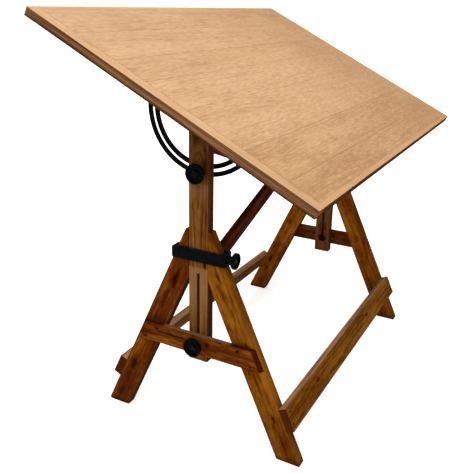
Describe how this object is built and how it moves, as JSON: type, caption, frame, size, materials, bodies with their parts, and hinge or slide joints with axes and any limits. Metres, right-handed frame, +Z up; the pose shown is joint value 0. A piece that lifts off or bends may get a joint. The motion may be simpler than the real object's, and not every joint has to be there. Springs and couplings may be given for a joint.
{
  "type": "drafting table",
  "caption": "Wooden drafting table: tilting board on slotted sliding posts in two splayed frames, with iron quadrants, clamp bands and hand knobs.",
  "frame": {"origin": "on the floor, under the middle of the whole table", "axes": "+X along the board to the right of the user, +Y away from the user, +Z up; the board faces up and towards -Y"},
  "size_m": [1.524, 0.8636, 1.3103],
  "materials": {
    "frame_wood": "stained and varnished softwood, amber with dark knots",
    "rail_wood": "stained and varnished softwood, dark red at the joints",
    "post_wood": "stained and varnished, darker grain lines",
    "brace_wood": "very dark red-brown stain",
    "plank_wood": "light honey wood with a satin finish",
    "lipping_wood": "light wood on top, brown stained edges",
    "batten_wood": "brown stained wood",
    "black_iron": "black painted casting, slightly glossy",
    "bolt_steel": "blackened steel",
    "screw_steel": "darkened steel"
  },
  "bodies": {
    "base": {"left_front_leg": "frame_wood", "left_back_leg": "frame_wood", "right_front_leg": "frame_wood", "right_back_leg": "frame_wood", "left_cross_rail": "rail_wood", "right_cross_rail": "rail_wood", "front_stretcher": "rail_wood", "back_stretcher": "rail_wood", "left_clamp_band": "black_iron", "left_clamp_shoe": "black_iron", "left_height_bolt": "bolt_steel", "left_height_washer": "bolt_steel", "right_clamp_band": "black_iron", "right_clamp_shoe": "black_iron", "right_height_bolt": "bolt_steel", "right_height_washer": "bolt_steel", "rail_screws": "screw_steel", "stretcher_screws": "screw_steel"},
    "posts": {"left_post": "post_wood", "right_post": "post_wood", "rising_brace": "brace_wood", "falling_brace": "brace_wood", "brace_screws": "screw_steel", "left_tilt_bolt": "bolt_steel", "left_tilt_washer": "bolt_steel", "left_pivot_bolt": "bolt_steel", "left_pivot_washer": "bolt_steel", "left_pivot_nut": "bolt_steel", "right_tilt_bolt": "bolt_steel", "right_tilt_washer": "bolt_steel", "right_pivot_bolt": "bolt_steel", "right_pivot_washer": "bolt_steel", "right_pivot_nut": "bolt_steel"},
    "board": {"plank_1": "plank_wood", "plank_2": "plank_wood", "plank_3": "plank_wood", "plank_4": "plank_wood", "plank_5": "plank_wood", "plank_6": "plank_wood", "plank_7": "plank_wood", "front_lipping": "lipping_wood", "back_lipping": "lipping_wood", "left_lipping": "lipping_wood", "right_lipping": "lipping_wood", "left_batten": "batten_wood", "right_batten": "batten_wood", "left_quadrant": "black_iron", "right_quadrant": "black_iron", "batten_screws": "screw_steel", "quadrant_screws": "screw_steel"},
    "left_tilt_knob": {"left_tilt_knob": "black_iron"},
    "left_height_knob": {"left_height_knob": "black_iron"},
    "left_clamp_wheel": {"left_clamp_wheel": "black_iron", "left_clamp_screw": "bolt_steel"},
    "right_tilt_knob": {"right_tilt_knob": "black_iron"},
    "right_height_knob": {"right_height_knob": "black_iron"},
    "right_clamp_wheel": {"right_clamp_wheel": "black_iron", "right_clamp_screw": "bolt_steel"}
  },
  "joints": [
    {"name": "height_slide", "type": "slide", "parent": "base", "child": "posts", "axis": [0, 0, 1], "range_m": [-0.205, 0.004]},
    {"name": "board_tilt", "type": "hinge", "parent": "posts", "child": "board", "pos_m": [0, 0.01515, 1.04], "axis": [1, 0, 0], "range_deg": [-84.5, 31.5]},
    {"name": "left_tilt_knob_turn", "type": "hinge", "parent": "posts", "child": "left_tilt_knob", "pos_m": [-0.553, 0.01515, 0.8655], "axis": [-1, 0, 0], "continuous": true},
    {"name": "left_height_knob_turn", "type": "hinge", "parent": "base", "child": "left_height_knob", "pos_m": [-0.569, 0.01515, 0.32065], "axis": [-1, 0, 0], "continuous": true},
    {"name": "left_clamp_wheel_turn", "type": "hinge", "parent": "base", "child": "left_clamp_wheel", "pos_m": [-0.537, -0.08785, 0.6115], "axis": [0, -1, 0], "continuous": true},
    {"name": "right_tilt_knob_turn", "type": "hinge", "parent": "posts", "child": "right_tilt_knob", "pos_m": [0.553, 0.01515, 0.8655], "axis": [1, 0, 0], "continuous": true},
    {"name": "right_height_knob_turn", "type": "hinge", "parent": "base", "child": "right_height_knob", "pos_m": [0.569, 0.01515, 0.32065], "axis": [1, 0, 0], "continuous": true},
    {"name": "right_clamp_wheel_turn", "type": "hinge", "parent": "base", "child": "right_clamp_wheel", "pos_m": [0.537, -0.08785, 0.6115], "axis": [0, -1, 0], "continuous": true}
  ]
}
